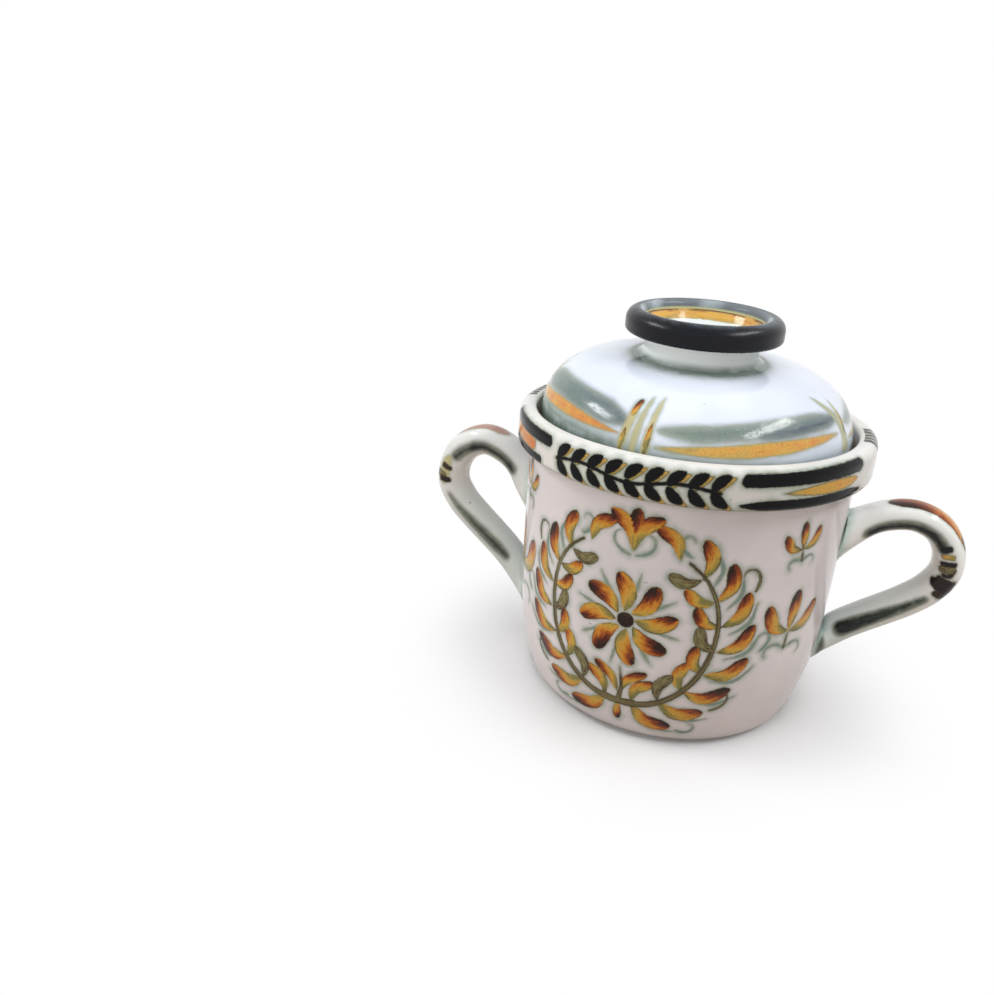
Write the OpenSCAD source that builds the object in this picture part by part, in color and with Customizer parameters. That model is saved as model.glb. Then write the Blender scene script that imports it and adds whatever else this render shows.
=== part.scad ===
// Lidded salt pot with two strap handles, in glazed earthenware.
// Lengths are millimetres. The pot stands on z = 0 with its axis on Z, its handles
// along X and its decorated front towards -Y.

/* [Pot] */
// Outer radius of the upright part of the wall
pot_radius = 57; // [52:0.5:66]
// Height of the wall, up to the underside of the collar
pot_height = 92; // [84:0.5:110]
// Thickness of the wall
wall = 5.5; // [4:0.25:7]
// Thickness of the floor
floor_thickness = 5; // [4:0.25:8]
// How far the heel stands in from the upright wall
heel_inset = 5; // [2:0.25:7]
// Height of the rounded heel
heel_height = 3; // [2:0.25:6]
// Radius of the round corner between the floor and the wall, inside
floor_round = 8; // [4:0.5:14]
// Height over which the wall swells from the heel to its full radius
swell_height = 35; // [25:0.5:50]

/* [Foot] */
// How far the foot ring stands in from the heel
foot_inset = 4; // [2:0.25:8]
// Width of the foot ring
foot_width = 6; // [4:0.25:10]
// Height of the foot ring, with the part that sits in the pot
foot_height = 2.4; // [2:0.1:4]
// Height of the foot ring that shows under the heel
foot_reveal = 1; // [0.5:0.1:1.5]

/* [Collar] */
// Height of the collar
collar_height = 13; // [11:0.5:18]
// How far the collar stands out from the wall
collar_reach = 4; // [2:0.25:6]
// How much wider the collar is at its lip than at its top
collar_taper = 0.5; // [0:0.1:1.5]
// Thickness of the collar around the lid
collar_wall = 6; // [5:0.25:8]
// Radius of the round outer edge at the top
collar_round = 3; // [1.5:0.25:4]
// Radius of the round edge at the lip
lip_round = 2; // [1:0.25:3]
// Depth of the gallery that the lid sits in
gallery_depth = 8; // [6:0.25:9]
// Width of the ledge under the lid
ledge_width = 6.5; // [5:0.25:10]

/* [Handles] */
// Distance from the axis to the middle of the strap at its outermost bend
handle_reach = 91.6; // [86:0.1:110]
// Height of the middle of the strap at its highest bend
handle_top = 80.5; // [74:0.5:84]
// Height of the middle of the strap at its lower joint
handle_foot = 26.5; // [20:0.5:36]
// Width of the strap, along the wall
strap_width = 14; // [10:0.5:18]
// Thickness of the strap
strap_thickness = 10.5; // [8:0.25:13]
// Extra thickness of the strap where it is luted to the wall
strap_flare = 8; // [4:0.5:13]
// Extra width of the strap where it is luted to the wall
strap_spread = 3; // [0:0.5:8]
// Distance from the wall over which the strap flares
flare_length = 8; // [6:0.5:18]

/* [Lid] */
// Gap between the lid and the collar, all round
lid_gap = 1.7; // [0.8:0.1:2.5]
// Height of the upright skirt of the lid
skirt_height = 6; // [4:0.25:10]
// Rise of the dome above the skirt
dome_rise = 22; // [16:0.25:32]
// Thickness of the dome
lid_wall = 5; // [4:0.25:7]
// Width of the flat rim that rests on the ledge
lid_rim = 6; // [4.5:0.25:8]
// How square the dome's shoulder is, from 2 for an ellipse upwards
shoulder_power = 4; // [2:0.25:6]

/* [Knob] */
// Radius of the neck where it is narrowest
neck_radius = 19.3; // [16:0.1:20]
// Height of the neck, from the lid to the underside of the ring
neck_height = 7.4; // [6:0.1:10]
// How much wider the neck is under the ring
neck_flare = 2.7; // [0:0.1:3.5]
// Radius of the fillet at the foot of the neck
neck_fillet = 2.2; // [1:0.1:2.6]
// Outer radius of the ring
ring_radius = 26.5; // [25:0.25:32]
// Width of the ring, from inside to outside
ring_width = 6.5; // [5.5:0.25:8]
// Height of the ring
ring_height = 7.7; // [7:0.1:12]
// Radius of the ring's round edges
ring_round = 3; // [1.5:0.1:3.5]
// Thickness of clay between the hollow of the knob and the neck's outside
knob_wall = 4; // [3:0.25:6]
// Depth of the hollow of the knob, from the top of the ring
hollow_depth = 12; // [8:0.25:12.5]

/* [Hidden] */

$fn = 180;

// Counts of steps along the curves
arc_steps = 8;
swell_steps = 12;
dome_steps = 22;
strap_sides = 20;
strap_steps = 3;

// Places worked out from the sizes above
heel_radius = pot_radius - heel_inset;
foot_radius = heel_radius - foot_inset;
swell_base = foot_reveal + heel_height;
swell_top = swell_base + swell_height;
floor_top = foot_height + floor_thickness;
inner_radius = pot_radius - wall;
inner_base = floor_top + floor_round;

collar_radius = pot_radius + collar_reach;
collar_top = pot_height + collar_height;
gallery_radius = collar_radius - collar_wall;
ledge_top = collar_top - gallery_depth;
ledge_radius = gallery_radius - ledge_width;

lid_radius = gallery_radius - lid_gap;
lid_shoulder = ledge_top + skirt_height;
lid_inner_radius = lid_radius - lid_wall;
rim_edge = lid_wall / 4;

neck_base_radius = neck_radius + neck_fillet;
neck_top_radius = neck_radius + neck_flare;
knob_seat = dome_height(neck_base_radius);
ring_base = knob_seat + neck_height;
ring_top = ring_base + ring_height;
ring_inner_radius = ring_radius - ring_width;
ring_rolled = ring_top - ring_round;
hollow_floor = ring_top - hollow_depth;
hollow_radius = neck_radius - knob_wall;

// Middle line of a strap from its upper joint to its lower one: shares of the way out
// from the wall to the reach, and shares of the rise from the foot to the top. The first
// two and the last two lie inside the pot, so that no ring ends level with the wall
strap_shares = [
    [-0.12, 0.645], [-0.04, 0.705], [0.11, 0.83], [0.26, 0.925], [0.49, 1.00], [0.77, 0.96],
    [0.95, 0.83], [1.00, 0.66], [0.88, 0.49], [0.66, 0.34], [0.42, 0.22], [0.20, 0.11],
    [-0.04, -0.022], [-0.12, -0.06]];

// Points of a quarter ellipse about a centre, from one angle to another
function arc(cx, cz, rx, rz, from, to) =
    [for (i = [0:arc_steps])
        let (a = from + (to - from) * i / arc_steps)
        [cx + rx * cos(a), cz + rz * sin(a)]];

// Radius of the outside of the wall at a height over the heel
function swell_radius(z) =
    let (rise = min(1, (z - swell_base) / swell_height))
    pot_radius - heel_inset * pow(1 - rise, 2);

// Height of the outside of the dome at a radius
function dome_height(r) =
    lid_shoulder + dome_rise * sqrt(1 - pow(r / lid_radius, shoulder_power));

// Height of the inside of the dome at a radius
function dome_hollow(r) =
    lid_shoulder + (dome_rise - lid_wall)
        * sqrt(1 - pow(r / lid_inner_radius, shoulder_power));

// Outside of the wall from the edge of the foot up to the collar
function wall_outline() = concat(
    arc(foot_radius, swell_base, foot_inset, heel_height, -90, 0),
    [for (i = [1:swell_steps])
        let (z = swell_base + swell_height * i / swell_steps)
        [swell_radius(z), z]],
    [[pot_radius, pot_height]]);

// Catmull-Rom value between b and c, with a before them and d after them
function spline(a, b, c, d, t) =
    0.5 * (2 * b + (c - a) * t + (2 * a - 5 * b + 4 * c - d) * t * t
        + (3 * b - a - 3 * c + d) * t * t * t);

// Middle points of a strap, as [distance from the axis, height]
strap_points = [for (s = strap_shares)
    [pot_radius + (handle_reach - pot_radius) * s[0],
     handle_foot + (handle_top - handle_foot) * s[1]]];
strap_last = len(strap_points) - 1;
strap_middle = concat(
    [for (k = [0:strap_last - 1], j = [0:strap_steps - 1])
        spline(strap_points[max(k - 1, 0)], strap_points[k], strap_points[k + 1],
               strap_points[min(k + 2, strap_last)], j / strap_steps)],
    [strap_points[strap_last]]);
strap_rings = len(strap_middle);

// Direction of the middle line at one ring
function strap_run(k) =
    let (d = strap_middle[min(k + 1, strap_rings - 1)] - strap_middle[max(k - 1, 0)])
    d / norm(d);

// How far the strap is flared at a distance from the axis, from 0 to 1
function flare_at(x) =
    pow(max(0, 1 - max(0, x - pot_radius) / flare_length), 2);

// One ring of the strap: an oval square to the middle line, turned upright at the wall
function strap_ring(k) =
    let (m = strap_middle[k], d = strap_run(k), f = flare_at(m[0]))
    let (upright = k < strap_rings / 2 ? 1 : -1)
    let (across = [-d[1] * (1 - f), d[0] * (1 - f) + upright * f])
    let (n = across / norm(across))
    let (rz = (strap_thickness + strap_flare * f) / 2)
    let (ry = (strap_width + strap_spread * f) / 2)
    [for (i = [0:strap_sides - 1])
        let (a = 360 * i / strap_sides)
        [m[0] + n[0] * rz * cos(a), ry * sin(a), m[1] + n[1] * rz * cos(a)]];

// A strap as one swept solid, with its ends still inside the pot
module strap() {
    points = [for (k = [0:strap_rings - 1]) each strap_ring(k)];
    sides = [for (k = [0:strap_rings - 2], i = [0:strap_sides - 1])
        let (a = k * strap_sides + i)
        let (b = k * strap_sides + (i + 1) % strap_sides)
        each [[a, b, b + strap_sides], [a, b + strap_sides, a + strap_sides]]];
    first_end = [for (i = [strap_sides - 1:-1:0]) i];
    last_end = [for (i = [0:strap_sides - 1]) (strap_rings - 1) * strap_sides + i];
    polyhedron(points, concat(sides, [first_end, last_end]));
}

// The space that the pot fills, without its hollow
module pot_fill() {
    rotate_extrude() polygon(concat([[0, foot_reveal]], wall_outline(), [[0, pot_height]]));
}

// A handle that leaves the wall towards +X, cut to lie against the wall
module handle() {
    difference() {
        strap();
        pot_fill();
    }
}

// Floor and wall, with a seat for the foot ring and a flat top for the collar
module pot_body() {
    color("#e9e7e6")
    rotate_extrude() polygon(concat(
        [[0, foot_height], [foot_radius, foot_height]],
        wall_outline(),
        [[inner_radius, pot_height]],
        [for (i = [swell_steps:-1:1])
            let (z = inner_base + (swell_top - inner_base) * i / swell_steps)
            [swell_radius(z) - wall, z]],
        arc(swell_radius(inner_base) - wall - floor_round, inner_base,
            floor_round, floor_round, 0, -90),
        [[0, floor_top]]));
}

// Bare ring that the pot stands on
module foot_ring() {
    edge = foot_reveal / 2;
    inside = foot_radius - foot_width;
    color("#c9a98c")
    rotate_extrude() polygon(concat(
        arc(foot_radius - edge, edge, edge, edge, -90, 0),
        [[foot_radius, foot_height], [inside, foot_height]],
        arc(inside + edge, edge, edge, edge, 180, 270)));
}

// Thick collar on the wall, with the gallery and the ledge that carry the lid
module rim_collar() {
    inner_round = collar_round / 2;
    lip_radius = collar_radius + collar_taper;
    color("#eceae8")
    rotate_extrude() polygon(concat(
        [[ledge_radius, pot_height]],
        arc(lip_radius - lip_round, pot_height + lip_round, lip_round, lip_round, -90, 0),
        arc(collar_radius - collar_round, collar_top - collar_round,
            collar_round, collar_round, 0, 90),
        arc(gallery_radius + inner_round, collar_top - inner_round,
            inner_round, inner_round, 90, 180),
        [[gallery_radius, ledge_top], [ledge_radius, ledge_top]]));
}

// Handle on the right, seen from the front
module handle_right() {
    color("#dfe3de") handle();
}

// Handle on the left, seen from the front
module handle_left() {
    color("#dfe3de") mirror([1, 0, 0]) handle();
}

// Dome with its skirt and the flat rim that rests on the ledge
module lid_dome() {
    color("#e6ecf2")
    rotate_extrude() polygon(concat(
        [[lid_radius - lid_rim, ledge_top]],
        arc(lid_radius - rim_edge, ledge_top + rim_edge, rim_edge, rim_edge, -90, 0),
        [for (i = [0:dome_steps])
            let (r = neck_base_radius + (lid_radius - neck_base_radius) * cos(90 * i / dome_steps))
            [r, dome_height(r)]],
        [[0, knob_seat], [0, dome_hollow(0)]],
        [for (i = [1:dome_steps])
            let (r = lid_inner_radius * sin(90 * i / dome_steps))
            [r, dome_hollow(r)]],
        [[lid_inner_radius, ledge_top + 2 * rim_edge]]));
}

// Hollow flared neck of the knob
module knob_neck() {
    color("#e3e6e2")
    rotate_extrude() polygon(concat(
        [[0, knob_seat]],
        arc(neck_base_radius, knob_seat + neck_fillet, neck_fillet, neck_fillet, 270, 180),
        [[neck_top_radius, ring_base], [ring_inner_radius, ring_base]],
        [[ring_inner_radius, ring_rolled]],
        [[hollow_radius, hollow_floor + knob_wall / 2]],
        [[hollow_radius - knob_wall / 2, hollow_floor], [0, hollow_floor]]));
}

// Dark rolled ring around the mouth of the knob
module knob_ring() {
    color("#22252d")
    rotate_extrude() polygon(concat(
        [[ring_inner_radius, ring_base]],
        arc(ring_radius - ring_round, ring_base + ring_round, ring_round, ring_round, -90, 0),
        arc(ring_radius - ring_round, ring_top - ring_round, ring_round, ring_round, 0, 90),
        arc(ring_inner_radius + ring_round, ring_rolled, ring_round, ring_round, 90, 180)));
}

pot_body();
foot_ring();
rim_collar();
handle_left();
handle_right();
lid_dome();
knob_neck();
knob_ring();
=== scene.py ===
import math
from collections import namedtuple
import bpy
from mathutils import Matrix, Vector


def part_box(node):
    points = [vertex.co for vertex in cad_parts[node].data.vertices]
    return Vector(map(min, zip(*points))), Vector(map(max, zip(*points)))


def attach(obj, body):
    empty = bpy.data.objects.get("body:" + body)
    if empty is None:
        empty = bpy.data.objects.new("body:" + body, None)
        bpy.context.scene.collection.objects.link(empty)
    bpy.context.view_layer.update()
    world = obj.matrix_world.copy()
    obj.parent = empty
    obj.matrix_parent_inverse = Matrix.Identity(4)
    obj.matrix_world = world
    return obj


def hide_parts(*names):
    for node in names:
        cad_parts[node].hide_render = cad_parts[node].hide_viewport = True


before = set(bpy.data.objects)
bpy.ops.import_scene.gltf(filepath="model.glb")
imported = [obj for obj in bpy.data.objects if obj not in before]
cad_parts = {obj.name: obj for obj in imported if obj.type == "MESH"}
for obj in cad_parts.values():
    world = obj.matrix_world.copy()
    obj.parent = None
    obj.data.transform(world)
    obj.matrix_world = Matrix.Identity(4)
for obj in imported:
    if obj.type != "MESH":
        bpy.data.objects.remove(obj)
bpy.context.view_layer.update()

from types import SimpleNamespace

import bpy
import numpy as np
from bpy.props import FloatProperty, FloatVectorProperty, PointerProperty
from bpy.types import Operator, Panel, PropertyGroup
from mathutils import Matrix, Vector

bl_info = {
    "name": "Painted salt pot",
    "version": (1, 0, 0),
    "blender": (4, 5, 0),
    "location": "View3D > Sidebar > Salt pot",
    "description": "Builds a lidded, painted earthenware salt pot round its packed model",
    "category": "Object",
}

# Everything is worked out in millimetres and put into the meshes in metres
MM = 0.001

WALL_LOW, WALL_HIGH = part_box("pot_body")
COLLAR_LOW, COLLAR_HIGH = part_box("rim_collar")
LID_LOW, LID_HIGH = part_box("lid_dome")
NECK_LOW, NECK_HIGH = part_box("knob_neck")
RING_LOW, RING_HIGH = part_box("knob_ring")


# Settings that a user would change

def length(name, description, default):
    return FloatProperty(name=name, description=description, default=default, min=0.0,
                         precision=5, unit="LENGTH")


def left_right(name, description, defaults):
    return FloatVectorProperty(name=name, description=description + ", left and right", size=2,
                               default=defaults, min=0.0, precision=5, unit="LENGTH")


def colour(name, description, default):
    return FloatVectorProperty(name=name, description=description, default=default, size=3,
                               min=0.0, max=1.0, subtype="COLOR_GAMMA")


def power(name, description, default):
    return FloatProperty(name=name, description=description, default=default, min=0.0,
                         unit="POWER")


def group(name, description, kind):
    return PointerProperty(name=name, description=description, type=kind)


class WallSettings(PropertyGroup):
    radius: length("Wall radius", "Outer radius of the upright part of the wall", WALL_HIGH.x)
    top: length("Wall top", "Height of the top of the wall", WALL_HIGH.z)
    base: length("Wall base", "Height of the lowest edge of the wall", WALL_LOW.z)
    thickness: length("Wall thickness", "Thickness of the wall", 0.0055)
    floor: length("Floor", "Height of the floor inside", 0.0074)
    floor_round: length("Floor round", "Radius of the corner between floor and wall", 0.008)
    heel_inset: length("Heel inset", "How far the heel stands in from the wall", 0.005)
    heel_height: length("Heel height", "Height of the rounded heel", 0.003)
    foot_inset: length("Foot inset", "How far the foot stands in from the heel", 0.004)
    swell: length("Swell", "Height over which the wall swells to its full radius", 0.035)


class CollarSettings(PropertyGroup):
    radius: length("Lip radius", "Largest radius of the collar, at its lip", COLLAR_HIGH.x)
    base: length("Collar base", "Height of the underside of the collar", COLLAR_LOW.z)
    top: length("Collar top", "Height of the top of the collar", COLLAR_HIGH.z)
    taper: length("Taper", "How much narrower the collar is at its top", 0.0005)
    wall: length("Collar wall", "Thickness of the collar round the lid", 0.006)
    gallery: length("Gallery depth", "Depth of the gallery that the lid sits in", 0.008)
    ledge: length("Ledge width", "Width of the ledge under the lid", 0.0065)


class HandleSettings(PropertyGroup):
    width: length("Strap width", "Width of the strap, along the wall", 0.014)
    spread: length("Spread", "Extra width of the strap at the wall", 0.003)
    flare_length: length("Flare length", "Distance over which the strap flares", 0.009)
    reach: left_right("Reach", "Reach of the strap's middle line", (0.0933, 0.0900))
    top: left_right("Top", "Highest point of the strap's middle line", (0.0815, 0.0803))
    foot: left_right("Foot", "Lower joint of the strap's middle line", (0.0213, 0.0280))
    thickness: left_right("Thickness", "Thickness of the strap", (0.0107, 0.0097))
    belly: left_right("Belly", "Extra thickness halfway along the strap", (0.0017, 0.0))
    flare: left_right("Flare", "Extra thickness at the upper joint", (0.0109, 0.0043))


class LidSettings(PropertyGroup):
    radius: length("Lid radius", "Outer radius of the lid", LID_HIGH.x)
    base: length("Lid base", "Height of the rim that rests on the ledge", LID_LOW.z)
    skirt: length("Skirt", "Height of the upright skirt", 0.006)
    rise: length("Rise", "Rise of the dome above the skirt", 0.022)
    wall: length("Lid wall", "Thickness of the dome", 0.005)
    rim: length("Rim width", "Width of the flat rim", 0.006)
    lean_back: FloatProperty(name="Lean back", default=0.045,
                             description="How much the lid rises towards the back")
    lean_side: FloatProperty(name="Lean aside", default=-0.028,
                             description="How much the lid rises towards the right")


class KnobSettings(PropertyGroup):
    neck_radius: length("Neck radius", "Radius of the neck where it is narrowest", 0.0193)
    neck_flare: length("Neck flare", "How much wider the neck is under the ring", 0.0027)
    neck_fillet: length("Neck fillet", "Radius of the fillet at the foot of the neck", 0.0022)
    wall: length("Knob wall", "Thickness of clay round the hollow", 0.004)
    hollow: length("Hollow depth", "Depth of the hollow under the top of the ring", 0.012)
    ring_width: length("Ring width", "Width of the ring from inside to outside", 0.0065)


class GlazeSettings(PropertyGroup):
    pot: colour("Pot glaze", "White glaze of the wall", (0.89, 0.868, 0.878))
    collar: colour("Collar glaze", "White glaze of the collar", (0.895, 0.89, 0.875))
    # The straps' and the neck's glazes are painted lighter than the wall's, and the lid's bluer:
    # painted light for how light falls on them, where the pot has one white glaze
    handle: colour("Handle glaze", "White glaze of the straps", (0.95, 0.955, 0.945))
    lid: colour("Lid glaze", "Bluish white glaze of the lid", (0.895, 0.92, 0.97))
    neck: colour("Neck glaze", "White glaze of the knob's neck", (0.96, 0.985, 0.985))
    # The pooled colour is also painted shade on the lid's skirt and round the knob's foot, and
    # the joint colour is painted shade along the straps' lower ends
    pooled: colour("Pooled glaze", "Grey-green of glaze that lies thick", (0.42, 0.49, 0.445))
    mint: colour("Joint glaze", "Pale green of glaze at the straps' joints", (0.68, 0.78, 0.74))
    halo: colour("Halo", "Blue-green bloom in the glaze round a stroke", (0.61, 0.68, 0.645))
    fringe: colour("Fringe", "Yellow-green glaze at a stroke's very edge", (0.55, 0.57, 0.42))
    clay: colour("Bare clay", "Unglazed earthenware", (0.74, 0.61, 0.49))
    ring: colour("Ring glaze", "Blue-black glaze of the knob's ring", (0.020, 0.028, 0.070))


class StageSettings(PropertyGroup):
    floor: colour("Floor", "Colour of the floor", (0.965, 0.965, 0.97))
    bounce: colour("Bounce", "Colour of the light that the floor throws back",
                   (0.60, 0.51, 0.42))
    lens: FloatProperty(name="Lens", description="Focal length of the camera", default=27.105,
                        min=1.0, unit="CAMERA")
    overhead: power("Overhead lamp", "Power of the lamp overhead", 5.6)
    left: power("Left window", "Power of the window at the left", 2.0)
    right: power("Right window", "Power of the window at the right", 3.0)
    front: power("Front window", "Power of the low window in front", 2.5)
    side: power("Side window", "Power of the low window at the left", 2.3)
    room: FloatProperty(name="Room light", description="Strength of the light from all round",
                        default=0.28, min=0.0)


class SaltPotSettings(PropertyGroup):
    wall: group("Wall", "Sizes of the wall", WallSettings)
    collar: group("Collar", "Sizes of the collar", CollarSettings)
    handles: group("Handles", "Sizes of the straps", HandleSettings)
    lid: group("Lid", "Sizes of the lid", LidSettings)
    knob: group("Knob", "Sizes of the knob", KnobSettings)
    glaze: group("Glazes", "Colours of the glazes", GlazeSettings)
    stage: group("Stage", "Floor, lamps and camera", StageSettings)


def in_mm(settings):
    """A group's lengths in millimetres, and its slopes as they are."""
    sizes = {}
    for entry in settings.bl_rna.properties:
        if entry.type == "FLOAT":
            value = np.array(getattr(settings, entry.identifier))
            scale = MM if entry.unit == "LENGTH" else 1.0
            sizes[entry.identifier] = (value / scale).tolist()
    return SimpleNamespace(**sizes)


# Outlines

def rounded(corners, radii, steps=7):
    """Outline through corners, each rounded by its radius.

    A corner's round runs from one tangent point to the other as a rational quadratic curve
    whose control point is the corner, weighted by the sine of half the corner's angle, so
    that it is a true arc. Radius 0 leaves the corner as it is.
    """
    corners, radii = np.asarray(corners, float), np.asarray(radii, float)
    back, ahead = np.roll(corners, 1, 0) - corners, np.roll(corners, -1, 0) - corners
    back /= np.linalg.norm(back, axis=1, keepdims=True)
    ahead /= np.linalg.norm(ahead, axis=1, keepdims=True)
    half = np.arccos(np.clip((back * ahead).sum(1), -1, 1)) / 2
    setback = (radii / np.tan(np.maximum(half, 1e-3)))[:, None]
    start, end = corners + back * setback, corners + ahead * setback
    t = np.linspace(0, 1, steps)[None, :, None]
    parts = (1 - t) ** 2, 2 * t * (1 - t) * np.sin(half)[:, None, None], t ** 2
    arcs = parts[0] * start[:, None] + parts[1] * corners[:, None] + parts[2] * end[:, None]
    return distinct((arcs / sum(parts)).reshape(-1, 2))


def quarter(centre, across, up, start, end):
    """Quarter of an ellipse with those half axes, between two angles in degrees."""
    turn = np.radians(np.linspace(start, end, 9))
    return np.stack([centre[0] + across * np.cos(turn), centre[1] + up * np.sin(turn)], 1)


def distinct(outline):
    """The outline without points that repeat the one before them."""
    gap = np.linalg.norm(np.diff(outline, axis=0), axis=1)
    return outline[np.concatenate([[True], gap > 1e-4])]


def fill_in(outline, step, closed=False):
    """The same outline, with each side cut into equal pieces no longer than step."""
    outline = np.asarray(outline, float)
    starts = outline if closed else outline[:-1]
    sides = (np.roll(outline, -1, 0) if closed else outline[1:]) - starts
    count = np.maximum(1, np.ceil(np.linalg.norm(sides, axis=1) / step)).astype(int)
    which = np.repeat(np.arange(len(count)), count)
    share = (np.arange(count.sum()) - (np.cumsum(count) - count)[which]) / count[which]
    points = starts[which] + sides[which] * share[:, None]
    return points if closed else np.vstack([points, outline[-1]])


def swell_radius(height, wall):
    """Outer radius of the wall: it closes on the full radius as a parabola of the height."""
    rise = np.clip((height - wall.base - wall.heel_height) / wall.swell, 0, 1)
    return wall.radius - wall.heel_inset * (1 - rise) ** 2


def spline(points, steps):
    """Catmull-Rom curve through the points, with its ends held, in steps pieces a side."""
    points = np.asarray(points, float)
    held = np.vstack([points[:1], points, points[-1:]])
    a, b, c, d = (held[k:k + len(points) - 1, None] for k in range(4))
    t = (np.arange(steps) / steps)[None, :, None]
    curve = 0.5 * (2 * b + (c - a) * t + (2 * a - 5 * b + 4 * c - d) * t ** 2
                   + (3 * b - a - 3 * c + d) * t ** 3)
    return np.vstack([curve.reshape(-1, points.shape[1]), points[-1:]])


def evenly(curve, step):
    """The curve at equal distances of about step, and those distances."""
    run = np.concatenate([[0], np.cumsum(np.linalg.norm(np.diff(curve, axis=0), axis=1))])
    at = np.linspace(0, run[-1], int(round(run[-1] / step)) + 1)
    return np.stack([np.interp(at, run, axis) for axis in curve.T], 1), at


# Surfaces

# Shares of the radius by which the hand's waves draw in the pot, the lid and the ring
POT_GIVE, LID_GIVE, RING_GIVE = 0.0042, 0.003, 0.006


def columns(front, back, edge=math.radians(80)):
    """Angles round the axis from the front towards +X, closer together in front."""
    return np.concatenate([np.linspace(-edge, edge, front, endpoint=False),
                           np.linspace(edge, 2 * math.pi - edge, back, endpoint=False)])


def hand(turn, height):
    """How far the potter's hand pulled the clay in, from 0 to 1: slow waves round the axis,
    each leaning a little with the height."""
    wave = (np.sin(2 * turn + 0.05 * height + 0.6) + 0.7 * np.sin(3 * turn - 0.07 * height)
            + 0.5 * np.sin(5 * turn + 0.11 * height + 4) + 0.3 * np.sin(0.42 * height + turn))
    return 0.5 + wave / 5


def turned(outline, turn, give):
    """An outline turned about Z: x = r sin(turn), y = -r cos(turn), z as in the outline.
    The radius r is drawn in by the share give of the hand's waves."""
    radius, height = outline[:, :1], outline[:, 1:]
    radius = radius * (1 - give * hand(turn, height))
    return np.stack([radius * np.sin(turn), -radius * np.cos(turn), height + 0 * radius], -1)


def askew(grid, lid):
    """The lid as it lies, a little askew: z grows by lean_back * y + lean_side * x, by none
    of it at the seating rim and all of it from the shoulder up, with a smooth step."""
    rise = np.clip((grid[..., 2] - lid.base - 1) / lid.skirt, 0, 1)
    lean = lid.lean_back * grid[..., 1] + lid.lean_side * grid[..., 0]
    leant = grid.copy()
    leant[..., 2] += rise * rise * (3 - 2 * rise) * lean
    return leant


def skin(name, grid, fields, closed=False):
    """A closed mesh on a grid of points in millimetres.

    Columns run round and meet. Rows meet too when closed; otherwise the first and the last
    row are each drawn together into one pole. Faces are turned outwards by the sign of the
    volume. Fields are values at the grid's points, written as attributes.
    """
    rows, cols = grid.shape[:2]
    ids = np.arange(rows * cols).reshape(rows, cols)
    if not closed:
        grid = grid.copy()
        for end in (0, -1):
            grid[end] = grid[end].mean(0)
            ids[end] = ids[end, 0]
    low = ids if closed else ids[:-1]
    high = np.roll(ids, -1, 0) if closed else ids[1:]
    quads = np.stack([low, np.roll(low, -1, 1), np.roll(high, -1, 1), high], -1)
    caps = np.zeros((0, 3), int)
    if not closed:
        caps = np.vstack([quads[0][:, [0, 2, 3]], quads[-1][:, [0, 1, 2]]])
        quads = quads[1:-1]
    quads = quads.reshape(-1, 4)
    used = np.unique(np.concatenate([quads.ravel(), caps.ravel()]))
    quads, caps = np.searchsorted(used, quads), np.searchsorted(used, caps)
    points = grid.reshape(-1, 3)[used] * MM
    corners = np.vstack([quads[:, :3], quads[:, [0, 2, 3]], caps])
    a, b, c = (points[corners[:, k]] for k in range(3))
    if (a * np.cross(b, c)).sum() < 0:
        quads, caps = quads[:, ::-1], caps[:, ::-1]
    mesh = bpy.data.meshes.new(name)
    mesh.from_pydata(points.tolist(), [], quads.tolist() + caps.tolist())
    for field, values in fields.items():
        vector = values.ndim == 3
        attribute = mesh.attributes.new(field, "FLOAT_VECTOR" if vector else "FLOAT", "POINT")
        flat = values.reshape(rows * cols, -1)[used].astype(np.float32).ravel()
        attribute.data.foreach_set("vector" if vector else "value", flat)
    mesh.polygons.foreach_set("use_smooth", np.ones(len(mesh.polygons), bool))
    mesh.update()
    if mesh.validate():
        raise RuntimeError(f"the mesh of {name} had faults")
    piece = bpy.data.objects.new(name, mesh)
    bpy.context.scene.collection.objects.link(piece)
    return piece


# Brush strokes

# A stroke is a curve in the unrolled surface, in millimetres: u runs round the axis from
# the front towards +X (or round a strap), v runs up the surface (or along a strap)
KINDS = ("shade", "wash", "line", "amber", "dark")

# Depth inside a stroke's edge of a point that none comes near, and how far past its edge
# each stroke is read
AWAY, MARGIN = -9.0, 6.0

# Radii at which the lid and the knob's hollow are unrolled, and the way round a strap
LID_UNROLLED, HOLLOW_UNROLLED, ROUND_STRAP = 50, 18, 39.6

Stroke = namedtuple("Stroke", "kind tone width taper points")

TAPERS = {
    "dash": lambda run: np.ones_like(run),
    "leaf": lambda run: np.sin(np.pi * np.clip(run, 0, 1)) ** 0.75,
    "lens": lambda run: np.minimum(1, 2.6 * np.sqrt(np.clip(run * (1 - run), 0, 1))) ** 1.3,
    "tail": lambda run: (1 - run) ** 0.6 * np.minimum(1, 0.55 + 3 * run),
    "comma": lambda run: 1.9 * (run + 0.04) ** 0.5 * (1.001 - run) ** 0.95,
    "band": lambda run: np.minimum(1, 4.5 * np.clip(run * (1 - run), 0, 1)) ** 0.5,
    "stem": lambda run: 1 - 0.65 * run,
    "swell": lambda run: np.sin(np.pi * np.clip(run, 0, 1) ** 1.5) ** 0.55,
}


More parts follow.
